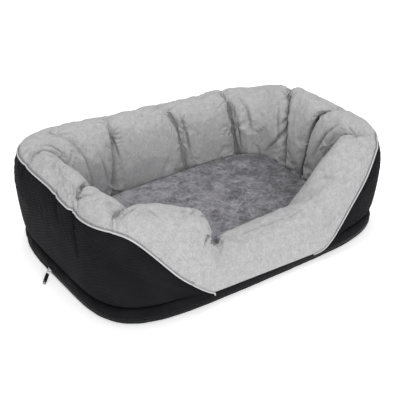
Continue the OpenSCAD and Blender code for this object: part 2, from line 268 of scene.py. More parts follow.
def lerp(a, b, t):
    """The value a part t of the way from a to b."""
    return a + (b - a) * t


def smooth(t):
    """0 below 0, 1 above 1, level at both ends."""
    t = np.clip(t, 0, 1)
    return t * t * (3 - 2 * t)


def unit_curve(angle, power):
    """Point of a circle squared by a power, at an angle."""
    c, s = np.cos(angle), np.sin(angle)
    k = (np.abs(c) ** power + np.abs(s) ** power) ** (-1 / power)
    return k * c, k * s


def outline(angle, out):
    """Point of the bed's outline, moved outward from the base's edge."""
    x, y = unit_curve(angle, SQUARENESS)
    return x * (HALF_L + out), y * (HALF_W + out)


def noise(points, size, seed):
    """Smooth value noise from -1 to 1, with features of about that size."""
    q = points / size
    cell = np.floor(q).astype(int)
    t = q - cell
    t = t * t * (3 - 2 * t)
    table = np.random.default_rng(seed).uniform(-1, 1, 4096)
    total = 0
    for corner in range(8):
        step = np.array([corner & 1, corner >> 1 & 1, corner >> 2 & 1])
        key = (cell + step) @ np.array([73856093, 19349663, 83492791])
        weight = np.prod(np.where(step, t, 1 - t), axis=-1)
        total = total + weight * table[key % len(table)]
    return total


def row_points(grid, at):
    """Points of a grid of columns at fractional rows, on a smooth curve through the rows."""
    last = grid.shape[1] - 1
    base = np.clip(np.floor(at).astype(int), 0, last - 1)
    t = (at - base)[..., None]
    column = np.arange(grid.shape[0])[:, None]
    a, b, c, d = (grid[column, np.clip(base + k, 0, last)] for k in (-1, 0, 1, 2))
    return 0.5 * (2 * b + (c - a) * t + (2 * a - 5 * b + 4 * c - d) * t**2 + (3 * b - a - 3 * c + d) * t**3)


def rumple(points, *layers):
    """Sum of layers of noise, each given as its size in mm, its seed and its height in mm."""
    return sum(noise(points, size * MM, seed) * height * MM for size, seed, height in layers)


def unit(vectors):
    """Vectors at length 1."""
    return vectors / np.maximum(np.linalg.norm(vectors, axis=-1, keepdims=True), 1e-12)


def run_along(path):
    """Length of a path from its start to each of its points."""
    steps = np.linalg.norm(np.diff(path, axis=0), axis=1)
    return np.concatenate([[0], np.cumsum(steps)])


def even_path(path, step):
    """The path with points at even steps."""
    run = run_along(path)
    even = np.linspace(0, run[-1], max(2, round(run[-1] / step)))
    return np.stack([np.interp(even, run, path[:, k]) for k in range(path.shape[1])], axis=1)


def double_columns(grid):
    """A closed ring of columns with a smooth column added between each two."""
    a, b, c, d = (np.roll(grid, shift, axis=0) for shift in (1, 0, -1, -2))
    middle = (9 * (b + c) - a - d) / 16
    return np.stack([grid, middle], axis=1).reshape(-1, *grid.shape[1:])


def normals_of(grid, closed):
    """Unit normals of a grid that is open or closed round its columns. They point out of the wall."""
    if closed:
        along = np.roll(grid, -1, axis=0) - np.roll(grid, 1, axis=0)
    else:
        along = np.gradient(grid, axis=0)
    return unit(np.cross(along, np.gradient(grid, axis=1)))


def grid_faces(columns, rows, closed=False, ring=False):
    """Four-sided faces of a grid, closed or open round its columns, and each column a ring or open."""
    i, j = np.meshgrid(np.arange(columns - (not closed)), np.arange(rows - (not ring)), indexing="ij")
    k, above = (i + 1) % columns, (j + 1) % rows
    quads = np.stack([i * rows + j, k * rows + j, k * rows + above, i * rows + above], axis=-1)
    return quads.reshape(-1, 4)


def linked(name, data):
    """A new object for some data, in the scene."""
    made = bpy.data.objects.new(name, data)
    bpy.context.scene.collection.objects.link(made)
    return made


def mesh_piece(name, points, faces, finish, body="root", cloth=None, painted_fold_shade=None):
    """A smooth-shaded mesh that rides on a body.

    cloth: flat coordinates in metres for its weave. The last: painted shade on each point, 0 to 1, darker in
    folds and beside the piping.
    """
    data = bpy.data.meshes.new(name)
    data.from_pydata(np.asarray(points).reshape(-1, 3).tolist(), [], [list(f) for f in faces])
    data.shade_smooth()
    for key, kind, field, values in (
        ("cloth", "FLOAT_VECTOR", "vector", cloth),
        ("painted_fold_shade", "FLOAT", "value", painted_fold_shade),
    ):
        if values is not None:
            attribute = data.attributes.new(key, kind, "POINT")
            attribute.data.foreach_set(field, np.asarray(values, np.float32).ravel())
    data.materials.append(finish)
    piece = linked(name, data)
    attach(piece, body)
    return piece


def tube(path, radius, sides):
    """Points and faces of a capped tube along a path."""
    along = unit(np.gradient(path, axis=0))
    side = unit(np.cross([0, 0, 1], along))
    up = np.cross(along, side)
    turn = np.linspace(0, 2 * math.pi, sides, endpoint=False)
    radius = np.broadcast_to(radius, len(path))[:, None, None]
    ring = np.cos(turn)[:, None] * side[:, None] + np.sin(turn)[:, None] * up[:, None]
    points = path[:, None] + radius * ring
    j = np.arange(sides)
    k = (j + 1) % sides
    faces = []
    for i in range(len(path) - 1):
        a = i * sides
        b = a + sides
        faces += np.stack([a + j, a + k, b + k, b + j], axis=1).tolist()
    end = (len(path) - 1) * sides
    faces += [list(range(sides))[::-1], list(range(end, end + sides))]
    return points.reshape(-1, 3), faces


# ---------------- the wall's first shape

def crest_height(angle):
    """Height of the crest round the bed, as this bed is stuffed."""
    angles, heights = zip(*CREST)
    at = np.degrees(angle)[..., None] + CREST_BLUR
    return END_H * np.interp(at, angles, heights, period=360).mean(axis=-1)


def entry_share(angle):
    """1 along the front entry, 0 at the sides: there the wall sags over the base's seam."""
    x, y = outline(angle, 0)
    return np.where(y < 0, smooth((FLAP_HALF - np.abs(x)) / FLAP_EASE), 0)


def fullness_at(angle):
    """How square the section is: round at the entry, which is stuffed less."""
    return lerp(FULLNESS, ENTRY_FULLNESS, entry_share(angle))


def wall_point(angle, section):
    """Point of the wall. The section runs from 0 at the outer seam over pi/2, the crest, to pi."""
    ux, uy = unit_curve(section, fullness_at(angle))
    share = entry_share(angle) * smooth((np.pi / 2 - section) / (np.pi / 2))
    x, _ = outline(angle, 0)
    low = lerp(*FLAP_LOW, np.clip(x / (2 * PIPE_GAP) + 0.5, 0, 1))
    foot = WALL_FOOT - share * (WALL_FOOT - low)
    z = foot + (crest_height(angle) - foot) * uy
    rise = (z - BASE_H) / (END_H - BASE_H)
    roll = FOOT_ROLL * (1 - np.exp(-np.maximum(z - foot, 0) / FOOT_ROLL))
    outer = lerp(-SEAM_IN, LEAN_OUT - FOOT_ROLL, 1 - (1 - np.clip(rise, 0, 1)) ** LEAN_CURVE)
    outer = outer + roll + share * FLAP_OUT
    inner = lerp(-FOOT_IN, LEAN_BACK - FOOT_IN, np.maximum(rise, 0))
    px, py = outline(angle, (outer + inner) / 2 + (outer - inner) / 2 * ux)
    return np.stack([px, py, z], axis=-1)


def pipe_section(angle):
    """Place on the section at which the piping's seam lies."""
    x, y = outline(angle, 0)
    crest = crest_height(angle)
    top = WALL_FOOT + (crest - WALL_FOOT) * PIPE_LEVEL
    full = WALL_FOOT + (END_H - WALL_FOOT) * PIPE_LEVEL
    start = np.where(x < 0, PIPE_GAP, PIPE_GAP_RIGHT)
    run = np.clip((np.abs(x) - start) / (PIPE_TOP - start), 0, 1)
    straight = np.where(x < 0, 0.9 * run * np.clip(1 - run / PIPE_STRAIGHT, 0, 1) ** 2, 0)
    climb = lerp(WALL_FOOT, full, smooth(run) + straight)
    bend = PIPE_BEND * np.exp(-np.abs(top - climb) / PIPE_BEND) * smooth(-y / PIPE_BLEND - 1)
    front = np.maximum(np.minimum(top, climb) - bend, WALL_FOOT)
    height = lerp(top, front, smooth(-y / PIPE_BLEND))
    v = (height - WALL_FOOT) / (crest - WALL_FOOT)
    power = fullness_at(angle)
    return np.arctan2(v, (1 - v**power) ** (1 / power))


def tuck_angles(place):
    """One of the tucks' angles in turn round the bed, and the first one again."""
    angles = [tuck[place] for tuck in TUCKS]
    return np.array(angles + [angles[0] + 360.0])


def tuck_columns():
    """Chamber number and place in the chamber, 0 to 1, for every column round the wall."""
    crest = tuck_angles(1)
    chambers, places = [], []
    for k in range(len(TUCKS)):
        arc = np.radians(np.linspace(crest[k], crest[k + 1], ARC_STEPS))
        run = run_along(wall_point(arc, np.pi / 2))
        count = max(4, round(run[-1] / COLUMN))
        c = np.arange(count) / count
        c = c - CROWDING * np.sin(2 * np.pi * c) / (2 * np.pi)
        # even steps along the crest, and not in the angle, which runs fast past a corner
        even = np.interp(c * run[-1], run, np.linspace(0, 1, ARC_STEPS))
        chambers += [k] * count
        places += even.tolist()
    return np.array(chambers), np.array(places)


def column_angle(chamber, place, section):
    """Angle round the bed of each column at its places on the section: columns lean as the tucks do."""
    at = np.degrees(section)
    paths = []
    for seam, crest, foot in zip(tuck_angles(0), tuck_angles(1), tuck_angles(2)):
        paths.append(np.interp(at, [0, SEAM_S, CREST_S, FOOT_S, 180], [seam, seam, crest, foot, foot]))
    paths = np.array(paths)
    column = np.arange(at.shape[0])[:, None]
    row = np.arange(at.shape[1])[None]
    before = paths[chamber[:, None], column, row]
    after = paths[chamber[:, None] + 1, column, row]
    return np.radians(lerp(before, after, place[:, None]))


def first_wall():
    """Grid of the wall before it is inflated, and each point's angle, section and chamber."""
    chamber, place = tuck_columns()
    seam = tuck_angles(0)
    seam_angle = np.radians(lerp(seam[chamber], seam[chamber + 1], place))
    split = np.maximum(pipe_section(seam_angle), math.radians(LEAST_SPLIT))
    count = len(chamber)
    grid_s = np.zeros((count, FACE_ROWS + CREST_ROWS + 1))
    stretches = (
        (np.zeros(count), split, FACE_ROWS, 0),
        (split, np.full(count, np.pi), CREST_ROWS, FACE_ROWS),
    )
    for low, high, rows, first in stretches:
        s = low[:, None] + (high - low)[:, None] * np.linspace(0, 1, PATH_STEPS)[None]
        p = wall_point(column_angle(chamber, place, s), s)
        for i in range(count):
            run = run_along(p[i])
            even = np.linspace(0, run[-1], rows + 1)
            grid_s[i, first:first + rows + 1] = np.interp(even, run, s[i])
    angle = column_angle(chamber, place, grid_s)
    return wall_point(angle, grid_s), angle, grid_s, chamber


def tuck_depth(number, section):
    """Depth of a tuck along the section: nothing at the seam, its own depth at the crest and below."""
    crest, inner = TUCKS[number % len(TUCKS)][3:5]
    places = [place for place, _, _ in TUCK_PROFILE]
    depths = [crest * on_crest + inner * on_inner for _, on_crest, on_inner in TUCK_PROFILE]
    return np.interp(np.degrees(section), places, depths) * MM


def tucked(grid, grid_s, chamber):
    """The grid with its tucks pressed in, and how far each point is tucked."""
    n = normals_of(grid, closed=True)
    step = np.linalg.norm(np.roll(grid, -1, axis=0) - grid, axis=2)[:, EVEN_ROW]
    shift = np.zeros(grid.shape[:2])
    held = np.zeros(grid.shape[:2])
    for k, tuck in enumerate(TUCKS):
        own = np.nonzero(chamber == k)[0]
        run = np.concatenate([[0], np.cumsum(step[own])])
        before, after = run[:-1, None], run[-1] - run[:-1, None]
        for number, away in ((k, before), (k + 1, after)):
            depth = tuck_depth(number, grid_s[own])
            shift[own] -= depth * np.exp(-(away / TUCK_WIDTH) ** 1.3)
            held[own] += depth / FULL_TUCK * np.exp(-(away / TUCK_PIN) ** 2)
        level = 1 - np.abs(2 * before / run[-1] - 1) ** 2.5
        over = np.interp(np.degrees(grid_s[own]), [40, 85, 150, 180], [0, 1, 0.8, 0.3])
        shift[own] += tuck[5] * MM * level * over
    return grid + n * shift[..., None], np.minimum(held, 1)


# ---------------- cloth

def inflated(grid, pins):
    """The closed tube of cloth after some frames of pressure, moved by no more than the cap."""
    columns, rows = grid.shape[:2]
    faces = grid_faces(columns, rows, closed=True, ring=True)
    data = bpy.data.meshes.new("cloth_tube")
    data.from_pydata(grid.reshape(-1, 3).tolist(), [], faces.tolist())
    tube_object = linked("cloth_tube", data)
    group = tube_object.vertex_groups.new(name="held")
    for index, weight in enumerate(pins.ravel().tolist()):
        if weight > 0:
            group.add([index], weight, "REPLACE")
    cloth = tube_object.modifiers.new("Cloth", "CLOTH")
    for key, value in CLOTH_SETTINGS.items():
        setattr(cloth.settings, key, value)
    cloth.settings.vertex_group_mass = group.name
    cloth.settings.effector_weights.gravity = 0
    cloth.collision_settings.use_collision = False
    cloth.point_cache.frame_start = 1
    cloth.point_cache.frame_end = INFLATE_FRAMES
    for number in range(1, INFLATE_FRAMES + 1):
        bpy.context.scene.frame_set(number)
    shown = tube_object.evaluated_get(bpy.context.evaluated_depsgraph_get())
    moved = np.empty(columns * rows * 3, np.float32)
    shown.data.vertices.foreach_get("co", moved)
    moved = moved.reshape(grid.shape).astype(float)
    bpy.data.objects.remove(tube_object)
    bpy.context.scene.frame_set(1)
    shift = moved - grid
    size = np.linalg.norm(shift, axis=-1, keepdims=True)
    return grid + shift * np.where(size > INFLATE_CAP, INFLATE_CAP / np.maximum(size, 1e-9), 1)


def whole_tube(grid):
    """The wall's grid closed underneath by rows from the inner foot back to the outer seam."""
    t = (np.arange(1, BOTTOM_ROWS) / BOTTOM_ROWS)[None, :, None]
    bottom = lerp(grid[:, -1:], grid[:, :1], t)
    return np.concatenate([grid, bottom], axis=1)


def held_weights(grid_s, held):
    """Pins: seams and outer face fast, tucks firmly, the rest just enough for its shape."""
    columns, rows = grid_s.shape
    free = 0.02 + 0.6 * held
    face = np.interp(np.degrees(grid_s), [0.5 * SEAM_S, SEAM_S], [1, 0.9])
    free = np.where(np.degrees(grid_s) < SEAM_S, face, free)
    seam = np.abs(np.arange(rows) - FACE_ROWS)[None] <= 1
    pins = np.ones((columns, rows + BOTTOM_ROWS - 1))
    pins[:, 1:rows - 1] = np.where(seam, 1, free)[:, 1:-1]
    return np.clip(pins, 0, 1)


def clear_of_cushion(grid):
    """Moves points outward where the wall would swell into the path of the loose cushion."""
    keep = CUSHION_IN - CUSHION_CLEAR
    across = np.abs(grid[..., 0] / (HALF_L - keep))
    along = np.abs(grid[..., 1] / (HALF_W - keep))
    reach = (across**SQUARENESS + along**SQUARENESS) ** (1 / SQUARENESS)
    factor = np.where(reach < 1, 1 / np.maximum(reach, 1e-6), 1)
    out = grid.copy()
    out[..., 0] *= factor
    out[..., 1] *= factor
    return out


# ---------------- materials

def material(name, colour, roughness, **sockets):
    """A new material and its Principled shader."""
    made = bpy.data.materials.new(name)
    made.use_nodes = True
    shader = made.node_tree.nodes["Principled BSDF"]
    shader.inputs["Base Color"].default_value = (*colour, 1)
    shader.inputs["Roughness"].default_value = roughness
    for socket, value in sockets.items():
        shader.inputs[socket.replace("_", " ")].default_value = value
    made.diffuse_color = (*colour, 1)
    return made, made.node_tree, shader


def node(tree, kind, **values):
    """A node with its inputs or properties set by name."""
    made = tree.nodes.new("ShaderNode" + kind)
    for key, value in values.items():
        if hasattr(made, key):
            setattr(made, key, value)
        else:
            made.inputs[key.replace("_", " ")].default_value = value
    return made


def place(tree, attribute=None):
    """Output socket with the point's place: in the object, or on the flat cloth."""
    if attribute:
        return node(tree, "Attribute", attribute_name=attribute).outputs["Vector"]
    return node(tree, "TexCoord").outputs["Object"]


def scaled(tree, socket, scale, turn=0.0):
    """The place stretched by a scale on each axis, and turned about Z."""
    mapping = node(tree, "Mapping")
    mapping.inputs["Scale"].default_value = scale
    mapping.inputs["Rotation"].default_value = (0, 0, turn)
    tree.links.new(socket, mapping.inputs["Vector"])
    return mapping.outputs["Vector"]


def noise_node(tree, socket, scale, detail=3.0, rough=0.55, distortion=0.0):
    """Output socket of a noise texture."""
    made = node(tree, "TexNoise", Scale=scale, Detail=detail, Roughness=rough, Distortion=distortion)
    tree.links.new(socket, made.inputs["Vector"])
    return made.outputs["Fac"]


def maths(tree, operation, a, b):
    """One step of arithmetic between sockets or numbers."""
    made = node(tree, "Math", operation=operation)
    for slot_number, value in enumerate((a, b)):
        if isinstance(value, (int, float)):
            made.inputs[slot_number].default_value = value
        else:
            tree.links.new(value, made.inputs[slot_number])
    return made.outputs[0]


def blend(tree, *parts):
    """Weighted sum of sockets, given as (socket, weight)."""
    total = None
    for socket, weight in parts:
        part = maths(tree, "MULTIPLY", socket, weight)
        total = part if total is None else maths(tree, "ADD", total, part)
    return total


def grey(value):
    """A colour of one value."""
    return (value,) * 3


def tinted(colour, factor):
    """A colour made darker or lighter."""
    return tuple(factor * c for c in colour)


def ramp(tree, factor, stops):
    """Colour ramp through (place, colour) stops."""
    made = node(tree, "ValToRGB")
    elements = made.color_ramp.elements
    while len(elements) < len(stops):
        elements.new(0.5)
    for element, (at, colour) in zip(elements, stops):
        element.position = at
        element.color = (*colour, 1)
    tree.links.new(factor, made.inputs["Fac"])
    return made.outputs["Color"]


def paint(tree, shader, factor, stops, socket="Base Color"):
    """Colours the shader, or sets another of its sockets, by a ramp."""
    tree.links.new(ramp(tree, factor, stops), shader.inputs[socket])


def bump(tree, shader, heights):
    """Chains bumps, given as (height socket, distance in metres, strength)."""
    normal = None
    for height, distance, strength in heights:
        made = node(tree, "Bump", Distance=distance, Strength=strength)
        tree.links.new(height, made.inputs["Height"])
        if normal:
            tree.links.new(normal, made.inputs["Normal"])
        normal = made.outputs["Normal"]
    tree.links.new(normal, shader.inputs["Normal"])


def suede():
    """Light grey suede: mottled nap, fine grain, a soft sheen, and painted shade in its folds and beside the
    piping.
    """
    base = (0.38, 0.38, 0.385)
    made, tree, shader = material("suede", base, 0.9, Sheen_Weight=0.08, Specular_IOR_Level=0.25)
    where = place(tree)
    patches = noise_node(tree, where, 75, 6, 0.7)
    nap = noise_node(tree, scaled(tree, where, (1, 1, 0.6)), 330, 5, 0.75)
    grain = noise_node(tree, where, 1100, 2, 0.5)
    colour = ramp(tree, blend(tree, (patches, 0.3), (nap, 0.48), (grain, 0.22)), [
        (0.38, (0.285, 0.282, 0.286)),
        (0.50, (0.383, 0.378, 0.383)),
        (0.62, (0.485, 0.480, 0.482)),
    ])
    # painted shade: the suede's colour goes towards near black in its folds and in the ditch beside the
    # piping
    painted_fold_shade = node(tree, "Attribute", attribute_name="painted_fold_shade").outputs["Fac"]
    shade = node(tree, "MixRGB")
    shade.inputs["Color2"].default_value = (0.045, 0.042, 0.042, 1)
    tree.links.new(maths(tree, "MULTIPLY", painted_fold_shade, 0.8), shade.inputs["Fac"])
    tree.links.new(colour, shade.inputs["Color1"])
    tree.links.new(shade.outputs["Color"], shader.inputs["Base Color"])
    bump(tree, shader, [(nap, 0.0008, 0.35), (grain, 0.0003, 0.5)])
    return made


def ribbed_oxford():
    """Black woven oxford with raised diagonal ribs."""
    base = (0.013, 0.013, 0.014)
    made, tree, shader = material("ribbed_oxford", base, 0.6, Specular_IOR_Level=0.015)
    where = place(tree, "cloth")
    wave = node(tree, "TexWave", wave_type="BANDS", bands_direction="X", Scale=1.0, Distortion=0.3)
    tree.links.new(scaled(tree, where, (95, 95, 95), math.radians(62)), wave.inputs["Vector"])
    ribs = wave.outputs["Fac"]
    weave = noise_node(tree, scaled(tree, where, (1, 2.2, 1)), 1400, 2, 0.5)
    patches = noise_node(tree, where, 14, 3, 0.5)
    tone = blend(tree, (ribs, 0.55), (patches, 0.45))
    paint(tree, shader, tone, [
        (0.15, (0.006, 0.006, 0.007)),
        (0.55, (0.011, 0.0105, 0.012)),
        (0.90, (0.024, 0.023, 0.026)),
    ])
    paint(tree, shader, tone, [(0.1, grey(0.75)), (0.9, grey(0.5))], "Roughness")
    bump(tree, shader, [(ribs, 0.0007, 0.7), (weave, 0.0002, 0.4)])
    return made


def plain_weave(name, dark, light, size=1500):
    """Plain woven cloth between two tones."""
    made, tree, shader = material(name, light, 0.8, Specular_IOR_Level=0.1)
    where = place(tree)
    threads = noise_node(tree, scaled(tree, where, (1, 1, 1.6)), size, 2, 0.5)
    patches = noise_node(tree, where, 18, 4, 0.6)
    tone = blend(tree, (threads, 0.5), (patches, 0.5))
    paint(tree, shader, tone, [(0.35, dark), (0.68, light)])
    bump(tree, shader, [(threads, 0.0003, 0.5)])
    return made


def plush():
    """Short dense pile, dark grey with a violet cast, in soft clumps, with painted shade that darkens it to
    the right.
    """
    base = (0.15, 0.146, 0.162)
    made, tree, shader = material("plush", base, 0.95, Sheen_Weight=0.35, Sheen_Roughness=0.5)
    where = place(tree)
    patches = noise_node(tree, where, 30, 2, 0.5)
    clumps = noise_node(tree, where, 52, 8, 0.8, distortion=1.8)
    pile = noise_node(tree, where, 700, 4, 0.8)
    apart = node(tree, "SeparateXYZ")
    tree.links.new(where, apart.inputs["Vector"])
    tone = blend(tree, (clumps, 0.5), (pile, 0.3), (patches, 0.2))
    # painted shade: the tone falls off towards +X, so the plush is darker to the right
    tone = maths(tree, "SUBTRACT", tone, maths(tree, "MULTIPLY", apart.outputs["X"], 0.2))
    paint(tree, shader, tone, [
        (0.42, (0.036, 0.034, 0.041)),
        (0.475, (0.128, 0.124, 0.140)),
        (0.57, (0.310, 0.304, 0.332)),
    ])
    bump(tree, shader, [(clumps, 0.004, 0.6), (pile, 0.0015, 0.9)])
    return made


def satin_tape():
    """The piping's sleeve: pale tape cut on the bias."""
    made, tree, shader = material("piping", (0.46, 0.46, 0.47), 0.45, Sheen_Weight=0.1)
    where = place(tree)
    threads = noise_node(tree, where, 1600, 2, 0.5)
    patches = noise_node(tree, where, 60, 3, 0.6)
    tone = blend(tree, (threads, 0.5), (patches, 0.5))
    paint(tree, shader, tone, [(0.3, (0.40, 0.40, 0.41)), (0.7, (0.54, 0.54, 0.545))])
    bump(tree, shader, [(threads, 0.0002, 0.5)])
    return made


def metal(name, colour, roughness):
    """Brushed metal, a little dulled in patches."""
    made, tree, shader = material(name, colour, roughness, Metallic=1.0)
    where = place(tree)
    brushed = noise_node(tree, scaled(tree, where, (1, 1, 12)), 900, 3, 0.6)
    wear = noise_node(tree, where, 350, 3, 0.6)
    paint(tree, shader, wear, [(0.3, tinted(colour, 0.7)), (0.7, colour)])
    paint(tree, shader, brushed, [(0.3, grey(roughness + 0.12)), (0.7, grey(roughness))], "Roughness")
    bump(tree, shader, [(brushed, 0.00005, 0.5)])
    return made


def plastic(name, colour, roughness):
    """Moulded plastic with a fine grain."""
    made, tree, shader = material(name, colour, roughness)
    grain = noise_node(tree, place(tree), 1800, 3, 0.6)
    paint(tree, shader, grain, [(0.3, tinted(colour, 0.7)), (0.7, tinted(colour, 1.3))])
    bump(tree, shader, [(grain, 0.0001, 0.5)])
    return made


# ---------------- camera, light and floor

def photo_camera():
    """The camera, low at the front left corner with a long lens."""
    data = bpy.data.cameras.new("camera")
    data.lens = 85.9
    data.sensor_width = 36
    data.shift_x = -0.0019
    data.shift_y = -0.0224
    camera = linked("camera", data)
    azimuth, elevation, distance = math.radians(-34.88), math.radians(30.72), 2.2098
    back = Vector((
        math.sin(azimuth) * math.cos(elevation),
        -math.cos(azimuth) * math.cos(elevation),
        math.sin(elevation),
    ))
    stand(camera, Vector(LOOK_AT) + back * distance)
    bpy.context.scene.camera = camera


def stand(thing, where):
    """Puts a lamp or the camera at a place, facing the bed."""
    thing.location = where
    thing.rotation_mode = "QUATERNION"
    thing.rotation_quaternion = (Vector(where) - Vector(LOOK_AT)).to_track_quat("Z", "Y")


def lamp(name, where, size, power):
    """A round area lamp that faces the bed."""
    data = bpy.data.lights.new(name, "AREA")
    data.shape = "DISK"
    data.size = size
    data.energy = power
    stand(linked(name, data), where)


def studio():
    """Pale floor and soft light from all round, from above and from the front left."""
    world = bpy.data.worlds.new("studio")
    bpy.context.scene.world = world
    world.use_nodes = True
    sky = world.node_tree.nodes["Background"]
    sky.inputs["Color"].default_value = (1, 1, 1, 1)
    sky.inputs["Strength"].default_value = 0.6
    bpy.context.scene.view_settings.view_transform = "Standard"
    lamp("top", (0.1, 0.2, 2.6), 1.8, 33)
    lamp("front", (-1.1, -2.7, 1.3), 1.4, 39)
    floor_material, tree, shader = material("floor", (0.9, 0.9, 0.9), 0.8)
    shader.inputs["Emission Color"].default_value = (1, 1, 1, 1)
    shader.inputs["Emission Strength"].default_value = 0.42
    dust = noise_node(tree, place(tree), 6, 2, 0.5)
    paint(tree, shader, dust, [(0.3, grey(0.895)), (0.7, grey(0.905))])
    data = bpy.data.meshes.new("floor")
    corners = [(-1, -1, 0), (1, -1, 0), (1, 1, 0), (-1, 1, 0)]
    data.from_pydata([[FLOOR_HALF * c for c in corner] for corner in corners], [], [(0, 1, 2, 3)])
    data.materials.append(floor_material)
    floor = linked("floor", data)
    floor.location.z = -FLOOR_GAP


# ---------------- the wall's pieces

def finished_wall():
    """The wall after inflating, refining and creasing, the painted shade of its folds, and the row of the
    piping's seam.
    """
    grid, angle, section, chamber = first_wall()
    grid, held = tucked(grid, section, chamber)
    grid = inflated(whole_tube(grid), held_weights(section, held))[:, :grid.shape[1]]
    split = pipe_section(angle[:, 0])
    seam = FACE_ROWS * np.minimum(1, split / math.radians(LEAST_SPLIT))
    # the angle is kept as its lead over even steps, which closes up round the ring
    angle = np.unwrap(angle, axis=0) - even_turn(len(grid))
    facts = np.dstack([grid, angle, section, np.broadcast_to(seam[:, None], section.shape)])
    for _ in range(round(math.log2(FINE_COLUMNS))):
        facts = double_columns(facts)
    rows = np.linspace(0, grid.shape[1] - 1, FINE_ROWS * (grid.shape[1] - 1) + 1)
    facts = row_points(facts, np.broadcast_to(rows, (len(facts), len(rows))))
    angle = facts[..., 3] + even_turn(len(facts))
    wall, painted_fold_shade = creased(facts[..., :3], angle, facts[..., 4], chamber)
    return clear_of_cushion(wall), painted_fold_shade, angle[:, 0], FINE_ROWS * facts[:, 0, 5], chamber


def even_turn(count):
    """Angles of even steps round a ring, as a column."""
    return (2 * math.pi * np.arange(count) / count)[:, None]


def first_column(chamber, number):
    """The finished wall's first column of a chamber."""
    return FINE_COLUMNS * int(np.nonzero(chamber == number)[0][0])


def wall_index(degrees, at, angle, section):
    """Column and row of the point nearest to an angle round the bed and a place on the section."""
    miss = ((degrees - angle + 180) % 360 - 180) ** 2 * 4 + (at - section) ** 2
    return np.unravel_index(np.argmin(miss), miss.shape)


def creased(wall, angle, section, chamber):
    """The wall with its folds and fine wrinkles, and a painted shade for each point, darker where it lies
    deeper in the folds.
    """
    n = normals_of(wall, closed=True)
    at = np.degrees(section)
    degrees = np.degrees(angle)
    depth = np.zeros(wall.shape[:2])
    painted_fold_shade = np.zeros(wall.shape[:2])
    for k in range(len(TUCKS)):
        gap = np.linalg.norm(wall - wall[first_column(chamber, k)][None], axis=2)
        deep = tuck_depth(k, section)
        depth += 0.5 * deep * np.exp(-gap / TUCK_LINE)
        # painted shade along each tuck
        painted_fold_shade += 0.7 * np.minimum(1, deep / FULL_TUCK) * np.exp(-(gap / TUCK_SHADE) ** 1.5)
    for a0, s0, a1, s1, deep, wide in CREASES + frills():
        spots = zip(np.linspace(a0, a1, 5), np.linspace(s0, s1, 5))
        line = np.array([wall[wall_index(degrees, at, *spot)] for spot in spots])
        line = even_path(line, CREASE_STEP)
        middle = line.mean(axis=0)
        reach = np.linalg.norm(line - middle, axis=1).max() + 3 * wide * MM
        near = np.linalg.norm(wall - middle, axis=2) < reach
        dent = np.zeros(np.count_nonzero(near))
        for t, spot in zip(np.linspace(0, 1, len(line)), line):
            gap = np.linalg.norm(wall[near] - spot, axis=1) / (wide * MM)
            dent = np.maximum(dent, math.sin(math.pi * lerp(0.1, 0.9, t)) * np.exp(-gap**2))
        depth[near] += deep * MM * dent
        # painted shade in each crease
        painted_fold_shade[near] += min(1, deep / DEEP_CREASE) * dent**2
    flat = np.stack([angle * HALF_L, section * 0.15, 0 * section], axis=-1)
    ripple = rumple(flat * [1, 0.4, 1], (14, 5, 1.0)) + rumple(flat, (6, 6, 0.35))
    share = np.interp(at, [SEAM_S, 80], [0.04, 1])
    shift = ripple * share + gathers(wall, n, degrees, at) - depth
    return wall + n * shift[..., None], np.minimum(painted_fold_shade, 1)


def frills():
    """Small wrinkles out from each tuck to either side, in the form of CREASES."""
    rng = np.random.default_rng(8)
    lines = []
    for seam, crest, foot, *_ in TUCKS[1:]:
        for side in FRILL_SIDES:
            start = rng.uniform(66, 158)
            angle = np.interp(start, [SEAM_S, CREST_S, FOOT_S], [seam, crest, foot]) + 0.4 * side
            run, climb = rng.uniform(2.5, 6), rng.uniform(-20, 20)
            deep, wide = rng.uniform(1.2, 2.6), rng.uniform(2.2, 3.2)
            lines.append((angle, start, angle + side * run, start + climb, deep, wide))
    return lines


def gathers(wall, n, degrees, at):
    """Wrinkles that run out like rays from where the cloth is pinched."""
    total = np.zeros(wall.shape[:2])
    for angle, section, reach, height, rays in PINCHES:
        i, j = wall_index(degrees, at, angle, section)
        offset = wall - wall[i, j]
        along = unit(wall[(i + 1) % len(wall), j] - wall[i - 1, j])
        up = np.cross(n[i, j], along)
        beside, above = PINCH_SQUEEZE * (offset @ along), offset @ up
        turn = np.arctan2(above, beside)
        r = np.sqrt(beside**2 + above**2 + (offset @ n[i, j]) ** 2) / (reach * MM)
        total += height * MM * np.sin(rays * turn + angle) * r * np.exp(1 - r - (r / 2.2) ** 2)
    return total


def panel(name, wall, painted_fold_shade, columns, low, high, rows, finish, nodes):
    """A panel of the wall between two fractional rows, with its edges turned in."""
    columns = columns % len(wall)
    low, high = low[columns], high[columns]
    even = np.linspace(0, 1, rows)
    at = low[:, None] + (high - low)[:, None] * (lerp(EDGE_CROWD, 1, even) * even)[None]
    points = row_points(wall[columns], at)
    painted_fold_shade = row_points(painted_fold_shade[columns][..., None], at)[..., 0]
    # painted shade in the ditch beside the piping, added to the painted shade of the folds
    painted_fold_shade = np.maximum(painted_fold_shade, SEAM_SHADE * np.exp(-((at - low[:, None]) / SEAM_ROWS) ** 2))
    painted_fold_shade = np.pad(painted_fold_shade, ((0, 0), (1, 1)), mode="edge")
    n = normals_of(points, closed=False)
    lower, upper = points[:, :1] - n[:, :1] * HEM, points[:, -1:] - n[:, -1:] * HEM
    points = np.concatenate([lower, points, upper], axis=1)
    u = run_along(points[:, rows // 2])
    v = run_along(points[len(points) // 2])
    u, v = np.meshgrid(u, v, indexing="ij")
    cloth = np.stack([u, v, np.zeros_like(u)], axis=-1)
    faces = grid_faces(len(points), rows + 2)
    slot = "ribbed_oxford" if name.startswith("outer") else "suede"
    piece = mesh_piece(name, points, faces, finish[slot], cloth=cloth, painted_fold_shade=painted_fold_shade)
    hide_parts(*nodes)


def numbered(kind, first, last):
    """Names of the frame's numbered nodes from first to last."""
    return [f"{kind}_{i:02d}" for i in range(first, last + 1)]


